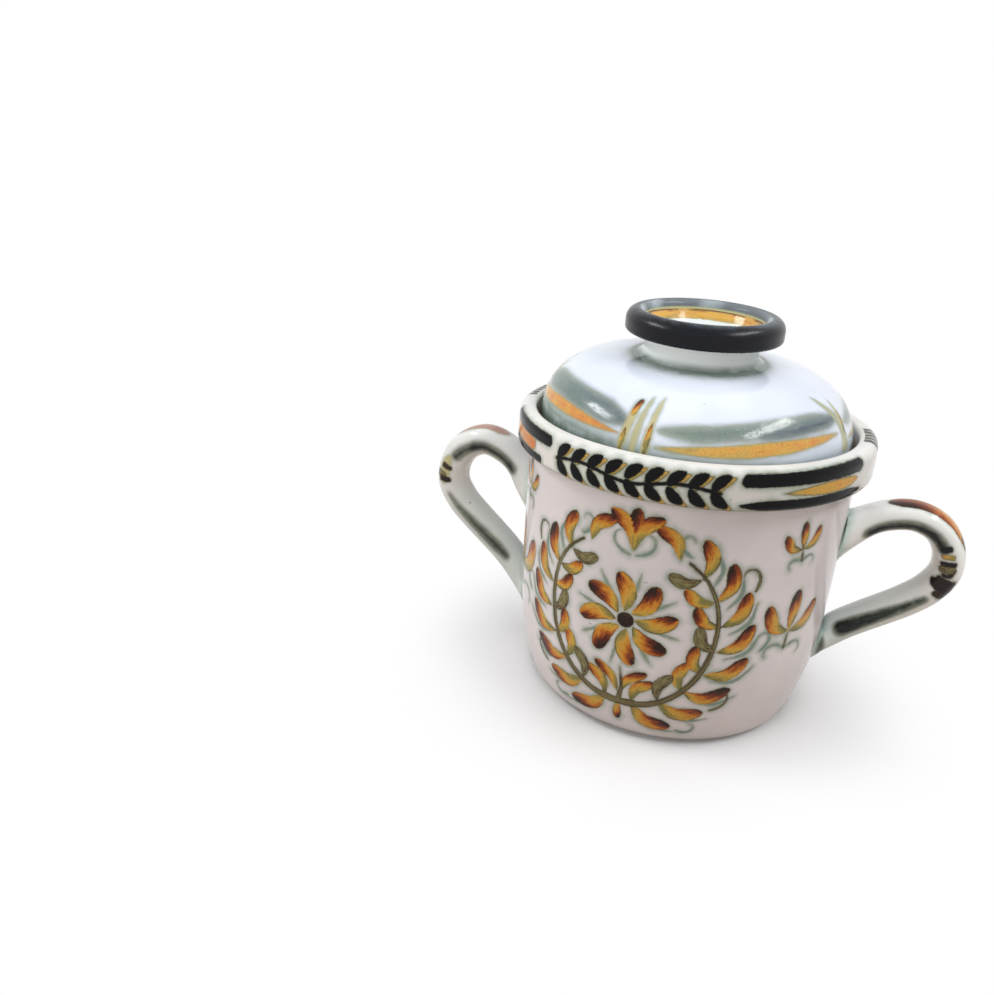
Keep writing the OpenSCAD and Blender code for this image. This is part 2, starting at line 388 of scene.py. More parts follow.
def painted(shape, rows, u, v, strokes, around):
    """Fields of a surface, with strokes painted on those rows of it.

    u is given for each column and v for each of the rows. A stroke's body is the union of
    discs along its curve. At each point the disc that reaches furthest past it is taken: x
    of the field is the distance to the curve, positive on its left, y is how far inside the
    disc's edge the point is, and z is the place along the stroke, from 0 to 1. Where
    strokes of one kind overlap, the deeper one wins.
    """
    fields = {}
    for kind in KINDS:
        fields[kind] = np.zeros(shape + (3,))
        fields[kind][..., 1] = AWAY
        fields[kind + "_tone"] = np.zeros(shape)
    fields.update(bloom=np.full(shape, -AWAY), pool=np.zeros(shape), bare=np.zeros(shape))
    part = {name: values[rows] for name, values in fields.items()}
    u, v = np.broadcast_arrays(u, np.asarray(v)[:, None])
    for kind, tone, width, taper, points in strokes:
        path = np.asarray(points, float)
        path = spline(path, 8) if len(path) > 2 else path
        if len(path) > 1:
            path = evenly(path, max(0.8, 0.02 * np.abs(np.diff(path, axis=0)).sum()))[0]
        else:
            path = np.vstack([path, path + 0.01])
        centre = path.mean(0)
        half = width / 2
        reach = np.abs(path - centre).max(0) + half + MARGIN
        east = (u - centre[0] + around / 2) % around - around / 2
        north = v - centre[1]
        close = (np.abs(east) < reach[0]) & (np.abs(north) < reach[1])
        at = np.stack([east[close], north[close]], -1)[:, None]
        start, side = path[:-1] - centre, np.diff(path, axis=0)
        share = np.clip(((at - start) * side).sum(-1) / (side ** 2).sum(-1), 0, 1)
        off = at - start - share[..., None] * side
        gap = np.linalg.norm(off, axis=-1)
        run = (np.arange(len(side)) + share) / len(side)
        inside = half * TAPERS[taper](run) - gap
        signed = np.sign(side[:, 0] * off[..., 1] - side[:, 1] * off[..., 0]) * gap
        best = np.argmax(inside, 1)[:, None]
        pick = np.hstack([np.take_along_axis(array, best, 1) for array in
                          (signed, inside, run)])
        deeper = pick[:, 1] > part[kind][close][:, 1]
        where = tuple(axis[deeper] for axis in np.nonzero(close))
        part[kind][where] = pick[deeper]
        part[kind + "_tone"][where] = tone
        part["bloom"][close] = np.minimum(part["bloom"][close], -pick[:, 1])
    return fields


def laid(place, *rows):
    """Strokes from rows of kind, tone, width, taper and points; place maps each point."""
    return [Stroke(*row[:4], [place(*point) for point in row[4:]]) for row in rows]


def near(value, centre, spread):
    """1 at the centre, falling to 0 with distance as a bell of that spread."""
    return np.exp(-((value - centre) / spread) ** 2)


def toward(start, heading, distance):
    """The point at a distance from start, with the heading in degrees from +u to +v."""
    return (start[0] + distance * math.cos(math.radians(heading)),
            start[1] + distance * math.sin(math.radians(heading)))


def comma(head, tail, width, tone, bend=0.16, kind="amber"):
    """A comma stroke from its round head to its thin tail, bowed aside by the bend."""
    (a, b), (c, d) = head, tail
    middle = ((a + c) / 2 - bend * (d - b), (b + d) / 2 + bend * (c - a))
    return Stroke(kind, tone, width, "comma", [head, middle, tail])


def curl(base, heading, size, turn, kind="line", tone=0.0, width=1.1):
    """A tendril whose heading turns with the square of the distance, so that it rolls up."""
    share = np.arange(15) / 15
    angle = np.radians(heading + turn * share ** 2)
    steps = np.stack([np.cos(angle), np.sin(angle)], 1) * size / 15
    return Stroke(kind, tone, width, "tail", np.asarray(base) + np.cumsum(steps, 0))


def wreath(centre, radius, leaves=8):
    """Two branches that rise from one foot and leave the top open. At each node there is a
    large comma leaf outside, a thin pale echo beside it, and a smaller leaf inside."""
    strokes = []
    for side in (-1, 1):
        def place(angle, out=0.0):
            return toward(centre, -90 + side * angle, radius + out)

        stem = [place(a, 1.2 * math.sin(a)) for a in range(-10, 150, 12)]
        strokes.append(Stroke("dark", 0.82, 2.9, "stem", stem))
        for k in range(leaves):
            angle = 9 + 142 / leaves * k
            base, forward = place(angle), -90 + side * (angle + 90)
            tone, green = (0.62, 0.34, 0.78, 0.46)[k % 4], k % 3 == 1
            outer = comma(toward(base, forward - side * 42, 16.0 - 0.5 * k), base,
                          7.4 - 0.2 * k, tone, side * 0.2)
            beside = np.asarray(outer.points, float) + (side * 3.4, -2.6)
            strokes += [outer, Stroke("line", 0.04, 1.3, "leaf", beside)]
            strokes.append(comma(toward(base, forward + side * 46, 11.5 - 0.3 * k), base, 5.4,
                                 0.86 if green else 0.9 - tone, -side * 0.2,
                                 "dark" if green else "amber"))
        tip = place(151)
        strokes.append(comma(toward(tip, 90 + side * 38, 12), tip, 6.0, 0.5, side * 0.2))
        for angle, out, heading, size, roll, kind, tone in (
                (46, 13, 20, 15, 230, "dark", 0.95), (112, 12, 70, 15, 240, "dark", 0.95),
                (28, 15, -20, 11, 220, "line", 0.0), (82, 15, 40, 12, 240, "line", 0.0),
                (146, 3, 150, 13, -250, "line", 0.0)):
            heading = heading if side > 0 else 180 - heading
            strokes.append(curl(place(angle, out), heading, size, side * roll, kind, tone, 1.4))
    return strokes


def rosette(centre, petals, inner, outer, width):
    """A round flower of comma petals, heads outward, about a dark eye."""
    strokes = [Stroke("dark", 0.5, 5.6, "dash", [centre]),
               Stroke("amber", 0.1, 2.0, "dash", [centre])]
    for k in range(petals):
        heading = 360 * k / petals + 11
        between = heading + 180 / petals
        strokes.append(comma(toward(centre, heading, outer), toward(centre, heading, inner),
                             width, 0.75 if k % 2 else 0.4, 0.14))
        strokes.append(Stroke("line", 0.1, 1.1, "leaf", [
            toward(centre, between, inner + 4.5), toward(centre, between, outer + 2.5)]))
    return strokes


def sprig(base, heading, size):
    """Three comma leaves and two tendrils on a short stalk."""
    fork = toward(base, heading, size * 0.45)
    strokes = [Stroke("dark", 0.85, 1.5, "tail", [base, fork])]
    for lean, tone in ((-50, 0.35), (0, 0.7), (50, 0.45)):
        strokes.append(comma(toward(fork, heading + lean, size), fork, size * 0.46, tone,
                             -0.004 * lean))
    return strokes + [curl(base, heading + side * 60, size * 0.9, side * 200)
                      for side in (-1, 1)]


# Materials

# Hues of the strokes: places along a ramp, and colours as they look on a screen
SHADE_HUES = ((0.0, (0.27, 0.34, 0.39)), (0.22, (0.38, 0.45, 0.46)), (0.45, (0.50, 0.57, 0.53)),
              (0.8, (0.20, 0.24, 0.19)), (1.0, (0.05, 0.055, 0.05)))
WASH_HUES = ((0.0, (0.64, 0.56, 0.30)), (0.25, (0.80, 0.66, 0.33)), (0.5, (0.87, 0.67, 0.30)),
             (1.0, (0.83, 0.50, 0.26)))
LINE_HUES = ((0.0, (0.43, 0.54, 0.52)), (0.35, (0.62, 0.65, 0.50)), (0.65, (0.79, 0.74, 0.52)),
             (0.75, (0.90, 0.70, 0.33)), (0.85, (0.66, 0.48, 0.44)), (1.0, (0.34, 0.21, 0.13)))
AMBER_HUES = ((0.0, (0.17, 0.10, 0.07)), (0.14, (0.34, 0.14, 0.08)), (0.32, (0.60, 0.29, 0.11)),
              (0.50, (0.82, 0.53, 0.18)), (0.70, (0.82, 0.66, 0.28)), (1.0, (0.53, 0.51, 0.29)))
DARK_HUES = ((0.0, (0.02, 0.02, 0.03)), (0.25, (0.035, 0.033, 0.038)), (0.5, (0.17, 0.10, 0.07)),
             (0.75, (0.36, 0.30, 0.19)), (1.0, (0.55, 0.53, 0.36)))


def rgb(shade, factor=1.0):
    """A colour as an array, darker or lighter by a factor."""
    return np.array(tuple(shade)) * factor


def linear(shade):
    """Linear light of a colour written as it looks on a screen."""
    value = rgb(shade)
    value = np.where(value <= 0.04045, value / 12.92, ((value + 0.055) / 1.055) ** 2.4)
    return (*value, 1.0)


class Bench:
    """Lays out the nodes of one material, or of the world."""

    def __init__(self, owner):
        owner.use_nodes = True
        self.owner = owner
        self.tree = owner.node_tree

    def node(self, kind, **settings):
        made = self.tree.nodes.new(kind)
        for key, value in settings.items():
            setattr(made, key, value)
        return made

    def first(self, *kinds):
        """The node of one of those kinds that the tree began with."""
        return next(n for n in self.tree.nodes if n.type in kinds)

    def put(self, socket, value):
        if isinstance(value, bpy.types.NodeSocket):
            self.tree.links.new(value, socket)
        else:
            socket.default_value = value

    def place(self):
        return self.node("ShaderNodeTexCoord").outputs["Object"]

    def math(self, operation, *values, clamp=False):
        node = self.node("ShaderNodeMath", operation=operation, use_clamp=clamp)
        for socket, value in zip(node.inputs, values):
            self.put(socket, value)
        return node.outputs[0]

    def add(self, value, *others):
        return self.math("ADD", value, others[0] if len(others) == 1 else self.add(*others))

    def times(self, value, other, clamp=False):
        return self.math("MULTIPLY", value, other, clamp=clamp)

    def line(self, value, slope, start, clamp=False):
        """start + slope * value"""
        return self.math("MULTIPLY_ADD", value, slope, start, clamp=clamp)

    def scaled(self, value, low, high):
        """low + value * (high - low)"""
        return self.line(value, high - low, low)

    def smooth(self, value, low, high, top=1.0):
        """0 up to low, top from high on, and a smooth step between them."""
        node = self.node("ShaderNodeMapRange", interpolation_type="SMOOTHSTEP")
        for name, setting in (("Value", value), ("From Min", low), ("From Max", high),
                              ("To Max", top)):
            self.put(node.inputs[name], setting)
        return node.outputs[0]

    def fade(self, value, near_value, far_value, top=1.0):
        """top up to near_value, 0 from far_value on."""
        return self.math("SUBTRACT", top, self.smooth(value, near_value, far_value, top))

    def noise(self, scale, detail=2.0, roughness=0.5, at=None):
        """Soft noise, with scale patches to the metre."""
        node = self.node("ShaderNodeTexNoise")
        self.put(node.inputs["Vector"], at or self.place())
        for name, value in (("Scale", scale), ("Detail", detail), ("Roughness", roughness)):
            node.inputs[name].default_value = value
        return node.outputs["Fac"]

    def ramp(self, value, *stops):
        node = self.node("ShaderNodeValToRGB")
        elements = node.color_ramp.elements
        while len(elements) < len(stops):
            elements.new(0.5)
        for element, (position, shade) in zip(elements, stops):
            element.position, element.color = position, linear(shade)
        self.put(node.inputs[0], value)
        return node.outputs[0]

    def over(self, base, layer, share):
        """layer laid over base by a share from 0 to 1. Each is a socket or a plain colour."""
        node = self.node("ShaderNodeMix", data_type="RGBA", clamp_factor=True)
        self.put(node.inputs[0], share)
        for socket, shade in ((node.inputs[6], base), (node.inputs[7], layer)):
            ready = isinstance(shade, bpy.types.NodeSocket)
            self.put(socket, shade if ready else linear(shade))
        return node.outputs[2]

    def split(self, socket):
        node = self.node("ShaderNodeSeparateXYZ")
        self.put(node.inputs[0], socket)
        return node.outputs

    def field(self, name, vector=False):
        node = self.node("ShaderNodeAttribute", attribute_name=name)
        return self.split(node.outputs["Vector"]) if vector else node.outputs["Fac"]

    def vector(self, *parts):
        node = self.node("ShaderNodeCombineXYZ")
        for socket, part in zip(node.inputs, parts):
            self.put(socket, part)
        return node.outputs[0]

    def seen(self):
        """1 for rays from the camera, and for reflected and transmitted ones; 0 for others."""
        ray = self.node("ShaderNodeLightPath").outputs
        straight = self.math("MAXIMUM", ray["Is Camera Ray"], ray["Is Glossy Ray"], clamp=True)
        return self.math("MAXIMUM", straight, ray["Is Transmission Ray"], clamp=True)

    def mixed(self, share, plain, other):
        """Ends the tree with one shader laid over another by a share."""
        mix = self.node("ShaderNodeMixShader")
        for socket, value in zip(mix.inputs, (share, plain, other)):
            self.put(socket, value)
        end = self.first("OUTPUT_MATERIAL", "OUTPUT_WORLD")
        self.put(end.inputs["Surface"], mix.outputs[0])

    def finish(self, shade, roughness, height=None, depth=0.0002, gloss=0.3):
        shader = self.first("BSDF_PRINCIPLED").inputs
        self.put(shader["Base Color"], shade)
        self.put(shader["Roughness"], roughness)
        shader["IOR"].default_value = 1.5
        shader["Specular IOR Level"].default_value = gloss
        if height is not None:
            bump = self.node("ShaderNodeBump")
            bump.inputs["Strength"].default_value = 1.0
            bump.inputs["Distance"].default_value = depth
            self.put(bump.inputs["Height"], height)
            self.put(shader["Normal"], bump.outputs[0])
        return self.owner


class StrokeNodes:
    """The nodes that read one kind of stroke: its mask, where a point lies across it, from
    -1 to 1, its run from 0 to 1, and streaks that run along it."""

    def __init__(self, bench, kind, wander, softness, fine):
        self.bench = bench
        self.side, edge, self.run = bench.field(kind, vector=True)
        self.tone = bench.field(kind + "_tone")
        self.edge = bench.add(edge, bench.scaled(fine, -wander, wander))
        self.mask = bench.smooth(self.edge, -softness, softness)
        half = bench.add(bench.math("MAXIMUM", edge, 0.05), bench.math("ABSOLUTE", self.side))
        self.across = bench.math("DIVIDE", self.side, half)
        at = bench.vector(bench.times(self.side, 1.15), bench.times(self.run, 3.0),
                          bench.times(self.tone, 9.0))
        self.streak = bench.noise(1.5, 3.0, 0.6, at)

    def cover(self, thin, thick):
        """How much of the stroke's own hue shows, thinner and thicker in streaks."""
        return self.bench.times(self.mask, self.bench.scaled(self.streak, thin, thick),
                                clamp=True)

    def rim(self, start, end, share):
        """The stroke's very edge, by a share."""
        return self.bench.times(self.bench.fade(self.edge, start, end), share)


def painted_glaze(name, ground, glaze, kinds=KINDS, thick=1.0, soften=1.0, halo=(1.9, 0.55),
                  pooled=None, gloss=0.3, rim_share=0.85, cover=1.0):
    """White glaze with brushwork under it.

    The ground varies slowly and goes grey-green where glaze pools and where shade is
    painted. Beside each stroke it has a yellow-green fringe and a wider blue-green halo,
    of the width and strength in halo, which comes and goes. The strokes are laid over it in
    the order of their kinds: soft shade, flat wash, clear line, amber from brown to yellow
    along its run and across it, and dark. Soften widens their edges, but not those of
    amber. A wash has a broken dark rim, as strong as rim_share, and lets the ground show by
    1 - cover.
    """
    b = Bench(bpy.data.materials.new(name))
    slow, fine, grit = b.noise(38, 2), b.noise(850, 3, 0.6), b.noise(2400, 2, 0.6)
    soft, broken = b.noise(240, 2), b.noise(95, 2)
    ground = rgb(ground)
    tint = b.ramp(slow, (0.3, ground * (0.96, 0.965, 0.97)), (0.7, np.minimum(1, ground * 1.02)))
    pool = b.times(b.field("pool"), b.scaled(soft, 0.6, 1.4), clamp=True)
    tint = b.over(tint, pooled or glaze.pooled, pool)
    bloom = b.add(b.field("bloom"), b.scaled(soft, -1.0, 1.0))
    around = b.times(b.fade(bloom, 0.0, halo[0], halo[1]),
                     b.scaled(b.smooth(broken, 0.38, 0.6), 0.45, 1.0))
    tint = b.over(tint, glaze.halo, around)
    tint = b.over(tint, glaze.fringe, b.fade(bloom, -0.3, 0.9, 0.55))
    speck = b.smooth(b.noise(520, 1, 0.4), 0.79, 0.82, 0.4)
    tint = b.over(tint, (0.42, 0.33, 0.26), speck)
    rough = b.scaled(fine, 0.07, 0.14)
    height = b.add(b.times(fine, 0.05), b.times(soft, 0.2))

    if "shade" in kinds:
        s = StrokeNodes(b, "shade", 1.1, 1.25 * soften, soft)
        brushed = s.cover(0.80, 1.25)
        depth = b.add(b.line(s.run, -0.25, s.tone), b.scaled(s.streak, -0.06, 0.06),
                      b.scaled(soft, -0.10, 0.10))
        tint = b.over(tint, b.ramp(depth, *SHADE_HUES), brushed)
        pitted = b.times(brushed, b.smooth(b.noise(1500, 3, 0.75), 0.52, 0.66))
        height = b.line(pitted, -0.10, height)
        tint = b.over(tint, (0.25, 0.30, 0.32), b.times(pitted, 0.35))

    if "wash" in kinds:
        s = StrokeNodes(b, "wash", 0.36, 0.24 * soften, fine)
        ripe = b.add(s.tone, b.line(s.run, 0.45, b.scaled(s.streak, -0.55, 0.10)),
                     b.scaled(soft, -0.40, 0.40))
        hue = b.over(b.ramp(ripe, *WASH_HUES), (0.60, 0.34, 0.14),
                     b.smooth(grit, 0.54, 0.66, 0.6))
        hue = b.over(hue, (0.66, 0.64, 0.40), b.fade(s.edge, 0.1, 0.8, 0.6))
        hue = b.over(hue, (0.36, 0.26, 0.15),
                     s.rim(0.0, 0.45, b.smooth(broken, 0.34, 0.46, rim_share)))
        tint = b.over(tint, hue, s.cover(0.85 * cover, 1.2 * cover))
        height = b.line(s.mask, 0.12, height)

    if "line" in kinds:
        s = StrokeNodes(b, "line", 0.40, 0.36 * soften, fine)
        tint = b.over(tint, b.ramp(s.tone, *LINE_HUES), s.cover(0.5, 1.15))

    if "amber" in kinds:
        s = StrokeNodes(b, "amber", 0.42, 0.22, fine)
        ripe = b.line(s.across, 0.26, b.line(s.run, 0.95, b.scaled(s.streak, -0.30, 0.34)))
        ripe = b.add(b.add(ripe, b.scaled(soft, -0.20, 0.20)), 0.44)
        ripe = b.line(s.tone, -0.62, ripe)
        hue = b.over(b.ramp(ripe, *AMBER_HUES), (0.30, 0.13, 0.07),
                     b.smooth(grit, 0.56, 0.66, 0.45))
        hue = b.over(hue, (0.30, 0.25, 0.14), s.rim(0.05, 0.75, b.smooth(soft, 0.38, 0.6, 0.85)))
        tint = b.over(tint, hue, s.cover(0.88, 1.3))
        rough = b.line(s.mask, 0.06, rough)
        height = b.line(s.mask, 0.30, height)

    if "dark" in kinds:
        s = StrokeNodes(b, "dark", 0.30 * soften, 0.28 * soften, fine)
        shift = b.times(b.scaled(s.streak, -0.5, 0.5), b.line(s.tone, 0.9, 0.2))
        hue = b.ramp(b.add(b.add(s.tone, shift), b.scaled(soft, -0.08, 0.08)), *DARK_HUES)
        hue = b.over(hue, (0.15, 0.11, 0.08), s.rim(0.05, 0.6, b.smooth(s.tone, 0.4, 0.7, 0.8)))
        tint = b.over(tint, hue, s.mask)
        height = b.line(s.mask, 0.20, height)

    bare = b.field("bare")
    tint = b.over(tint, b.ramp(grit, (0.35, rgb(glaze.clay, 0.9)), (0.65, glaze.clay)), bare)
    rough = b.line(bare, 0.65, rough, clamp=True)
    return b.finish(tint, rough, height, 0.00016 * thick, gloss)


def ring_glaze(name, glaze, knob):
    """Blue-black glaze with a painted slate sheen on its top, a painted whitish reflection on
    the inner roll that comes and goes round the ring, and yellow-green where the roll turns
    into the hollow. The roll is read from the field section: the distance from the axis
    and the height over the ring's base, in millimetres."""
    b = Bench(bpy.data.materials.new(name))
    fine, soft, slow = b.noise(900, 3, 0.6), b.noise(200, 2), b.noise(45, 1)
    radius, high, _ = b.field("section", vector=True)
    inner = RING_HIGH.x / MM - knob.ring_width
    tall = (RING_HIGH.z - RING_LOW.z) / MM
    radius = b.add(radius, b.scaled(soft, -0.4, 0.4))
    tint = b.ramp(fine, (0.3, rgb(glaze.ring, 0.8)), (0.7, glaze.ring))
    # Painted sheen: slate on the top of the ring, in patches
    painted_top_sheen = b.times(b.smooth(high, tall - 1.3, tall), b.smooth(soft, 0.35, 0.7, 0.4))
    tint = b.over(tint, (0.33, 0.39, 0.44), painted_top_sheen)
    # Painted reflection: whitish blue on the inner roll, coming and going round it
    thin = b.times(b.fade(radius, inner + 1.1, inner + 2.5),
                   b.scaled(b.smooth(slow, 0.40, 0.60), 0.3, 1.0), clamp=True)
    tint = b.over(tint, (0.74, 0.79, 0.82), thin)
    worn = b.times(b.fade(radius, inner + 0.4, inner + 1.0),
                   b.fade(high, tall - 2.9, tall - 2.1))
    tint = b.over(tint, (0.76, 0.77, 0.58), worn)
    height = b.add(b.times(fine, 0.12), b.times(soft, 0.5))
    return b.finish(tint, b.scaled(fine, 0.22, 0.32), height, 0.00014, gloss=0.25)


def bare_clay(name, glaze):
    """Unglazed earthenware: warm, matt and finely gritty, darker where it is worn."""
    b = Bench(bpy.data.materials.new(name))
    soft, grit = b.noise(160, 3), b.noise(1900, 3, 0.7)
    tint = b.ramp(soft, (0.3, rgb(glaze.clay, 0.86)), (0.7, glaze.clay))
    tint = b.over(tint, (0.45, 0.33, 0.25), b.smooth(grit, 0.55, 0.75, 0.5))
    return b.finish(tint, b.scaled(grit, 0.7, 0.95), grit, 0.0002)


# Making of the pieces

def settle(piece, material, body, node):
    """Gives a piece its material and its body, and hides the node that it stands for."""
    piece.data.materials.append(material)
    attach(piece, body)
    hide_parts(node)


# Each strap's middle line, from inside the wall at the upper joint, out and round, to the
# lower joint: shares of the way out from the wall and of the rise from foot to top
LEFT_SHARES = (
    (-0.055, 0.654), (0.002, 0.742), (0.152, 0.863), (0.348, 0.957), (0.587, 1.0),
    (0.814, 0.943), (0.96, 0.821), (0.993, 0.673), (0.878, 0.54), (0.699, 0.434),
    (0.507, 0.336), (0.318, 0.236), (0.145, 0.126), (0.002, 0.002), (-0.12, -0.11))
RIGHT_SHARES = (
    (-0.061, 0.608), (0.003, 0.785), (0.166, 0.898), (0.377, 0.974), (0.616, 0.999),
    (0.837, 0.942), (0.97, 0.815), (0.994, 0.663), (0.894, 0.524), (0.73, 0.41),
    (0.544, 0.31), (0.354, 0.214), (0.169, 0.113), (0.002, 0.001), (-0.12, -0.09))


def joint_pool(grid, handles):
    """Glaze that gathered round the foot of each strap: a bell of the distance from the
    strap's oval where it meets the wall."""
    pooled = np.zeros(grid.shape[:2])
    x, y, z = np.moveaxis(grid, -1, 0)
    wide = (handles.width + handles.spread) / 2
    for k, side, shares in ((0, -1, LEFT_SHARES), (1, 1, RIGHT_SHARES)):
        top, foot, thick = handles.top[k], handles.foot[k], handles.thickness[k]
        upper = foot + (top - foot) * shares[1][1]
        for height, tall in ((upper, thick + handles.flare[k]), (foot, thick)):
            oval = np.hypot(y / wide, (z - height) / tall * 2)
            pooled = np.maximum(pooled, near((oval - 1) * 10, 0.6, 1.5) * (x * side > 0))
    return pooled


def wall_strokes():
    """Brushwork of the wall: an open wreath about a rosette in front, with a bud in its
    mouth, a sprig and a bud at each side and three sprigs behind."""
    strokes = wreath((-4, 47), 30) + rosette((-4, 49), 8, 3.0, 15.5, 7.6)
    strokes += [
        Stroke("dark", 0.82, 2.0, "tail", [(-4, 16), (-3, 23), (-4, 31)]),
        comma((4.5, 30), (-3.6, 20), 4.6, 0.5, -0.15),
        comma((-12.5, 30), (-4.2, 20), 4.6, 0.5, 0.15),
        comma((-4, 8), (-4, 16), 4.0, 0.6, 0.0),
    ]
    for side in (-1, 0, 1):
        strokes.append(comma((-4 + side * 7.5, 87 - 1.6 * abs(side)), (-4, 73.5), 6.4,
                             0.8 if side == 0 else 0.4, side * -0.2))
    strokes += [curl((-4, 72), 90 + side * 75, 15, -side * 230) for side in (-1, 1)]
    for base, heading, size in (((51, 40), 84, 14), ((51, 72), 96, 9), ((-62, 36), 96, 19),
                                ((-58, 74), 84, 10), ((179, 26), 90, 24), ((139, 46), 90, 14),
                                ((219, 46), 90, 14)):
        strokes += sprig(base, heading, size)
    return strokes


class SALTPOT_OT_wall(Operator):
    """Throw the pot: floor and wall in one closed surface turned about the axis"""
    bl_idname = "saltpot.wall"
    bl_label = "Throw the wall"

    def execute(self, context):
        settings = context.scene.salt_pot
        wall, glaze = in_mm(settings.wall), settings.glaze
        base, top, floor, bend = wall.base, wall.top, wall.floor, wall.floor_round
        heel = wall.radius - wall.heel_inset
        foot, recess = heel - wall.foot_inset, base + 1.4
        under = fill_in([[0, recess], [foot - 0.5, recess], [foot, base]], step=12)
        heel_round = quarter((foot, base + wall.heel_height), heel - foot, wall.heel_height,
                             -90, 0)
        height = np.linspace(base + wall.heel_height, top, num=150)[1:]
        outside = np.stack([swell_radius(height, wall), height], 1)
        height = np.linspace(top, floor + bend, num=34)
        inside = np.stack([swell_radius(height, wall) - wall.thickness, height], 1)
        corner = quarter((inside[-1, 0] - bend, floor + bend), bend, bend, 0, -90)
        bottom = fill_in([corner[-1], [0, floor]], step=9)
        outline = distinct(np.vstack([under, heel_round, outside, inside, corner, bottom]))
        turn = columns(front=286, back=118)
        grid = turned(outline, turn, POT_GIVE)
        rows = slice(len(under), len(under) + len(heel_round) + len(outside) - 1)
        v = outline[rows, 1]
        fields = painted(grid.shape[:2], rows, turn * wall.radius, v, wall_strokes(),
                         2 * math.pi * wall.radius)
        # Glaze gathers a little at the heel and under the collar
        edges = np.maximum(near(v, base, spread=2.5) * 0.5, near(v, top, spread=1.6) * 0.45)
        fields["pool"][rows] = np.maximum(joint_pool(grid[rows], in_mm(settings.handles)),
                                          edges[:, None])
        fields["bare"][:len(under)] = 1.0
        settle(skin("thrown_wall", grid, fields),
               painted_glaze("Painted wall glaze", glaze.pot, glaze, halo=(2.4, 0.6), gloss=0.16),
               "pot", "pot_body")
        return {"FINISHED"}


class SALTPOT_OT_foot(Operator):
    """Leave the turned foot ring bare of glaze"""
    bl_idname = "saltpot.foot"
    bl_label = "Finish the foot ring"

    def execute(self, context):
        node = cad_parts["foot_ring"]
        clay = bare_clay("Bare foot clay", context.scene.salt_pot.glaze)
        if not node.material_slots:
            node.data.materials.append(clay)
        for place in node.material_slots:
            place.material = clay
        return {"FINISHED"}


def collar_strokes(radius):
    """Brushwork of the collar: black and ochre dashes in groups at the front's two sides,
    the same behind, a garland of leaf dabs between them, and ticks over the handles."""
    def at(degrees, height):
        return (math.radians(degrees) * radius, height)

    strokes = []
    for turn in (0, 180):
        strokes += laid(
            lambda a, z: at(a + turn, z),
            ("dark", 0.0, 4.1, "dash", (25, 101.9), (45, 102.3), (65, 102.6)),
            ("wash", 0.42, 4.0, "swell", (35.5, 97.9), (45, 98.1), (55, 98.4), (64.5, 98.8)),
            ("dark", 0.0, 3.4, "lens", (23, 94.3), (45, 94.4), (67, 94.9)),
            ("dark", 0.0, 3.8, "dash", (-66, 102.4), (-50, 102.2), (-36.5, 101.9)),
            ("wash", 0.75, 4.5, "dash", (-78, 98.8), (-66, 98.6), (-54, 98.3), (-46, 98.0)),
            ("dark", 0.0, 3.0, "dash", (-68, 94.6), (-54, 94.4), (-41, 94.2)))
    for turn in (-90, 90):
        for k in range(5):
            a = turn + (k - 2) * 3.4
            strokes += laid(
                at,
                ("dark", 0.2, 2.3 - 0.3 * (k % 2), "dash", (a, 107.0 + k % 2), (a + 0.5, 104),
                 (a, 101.2)),
                ("dark", 0.2, 2.1, "leaf", (a + 0.3, 100.6), (a - 0.3, 95.5 + k % 3)))
    stem = [at(a, 98.3 + 1.1 * math.sin(math.radians(a * 12))) for a in range(-32, 21, 5)]
    strokes.append(Stroke("dark", 0.1, 1.2, "dash", stem))
    for k in range(9):
        base = at(-31.5 + 5.9 * k, 98.3)
        for lean in (44, -44):
            for (u, v), size, width, tone, kind in (
                    (base, 7.0, 3.5, 0.0, "dark"),
                    ((base[0] + 1.2, base[1] - 0.7), 7.4, 2.4, 0.1, "wash")):
                middle = toward((u, v), lean + lean / 4, size * 0.5)
                strokes.append(Stroke(kind, tone, width, "leaf",
                                      [(u, v), middle, toward((u, v), lean, size)]))
    return strokes


class SALTPOT_OT_collar(Operator):
    """Throw the collar: a closed ring with a rounded lip, a gallery and a bare ledge"""
    bl_idname = "saltpot.collar"
    bl_label = "Throw the collar"

    def execute(self, context):
        settings = context.scene.salt_pot
        collar, glaze = in_mm(settings.collar), settings.glaze
        lip, base, top = collar.radius, collar.base, collar.top
        upper = lip - collar.taper
        gallery, ledge = upper - collar.wall, top - collar.gallery
        inner = gallery - collar.ledge
        outline = rounded([[inner, base], [lip, base], [upper, top], [gallery, top],
                           [gallery, ledge], [inner, ledge]],
                          radii=[0.3, 2.0, 3.0, 1.6, 0.5, 0.6], steps=9)
        outline = fill_in(outline, step=0.55, closed=True)
        turn = columns(front=350, back=140)
        grid = turned(outline, turn, POT_GIVE)
        radius, height = outline.T
        outer = np.flatnonzero((radius > gallery + 1.5) & (height > base + 0.01))
        rows = slice(outer[0], outer[-1] + 1)
        # The brushwork goes on over the rounded lip, inwards from 2 mm inside its edge
        over_lip = np.maximum(0, lip - 2.0 - radius) * (height > top - 3.0)
        unrolled = lip - 0.3
        fields = painted(grid.shape[:2], rows, turn * unrolled, (height + over_lip * 0.8)[rows],
                         collar_strokes(unrolled), 2 * math.pi * unrolled)
        # Glaze gathers at the lower edge outside, and in the gallery's corner
        pool = near(height, base + 0.3, spread=0.9) * 0.5 * (radius > lip - 4)
        pool += near(height, ledge + 1.0, spread=2.0) * 0.8 * (radius < gallery + 0.6)
        fields["pool"][:] = pool[:, None]
        fields["bare"][(height < ledge + 0.3) & (radius < gallery + 0.1)] = 1.0
        settle(skin("thrown_collar", grid, fields, closed=True),
               painted_glaze("Painted collar glaze", glaze.collar, glaze, halo=(2.2, 0.6),
                             gloss=0.14),
               "pot", "rim_collar")
        return {"FINISHED"}


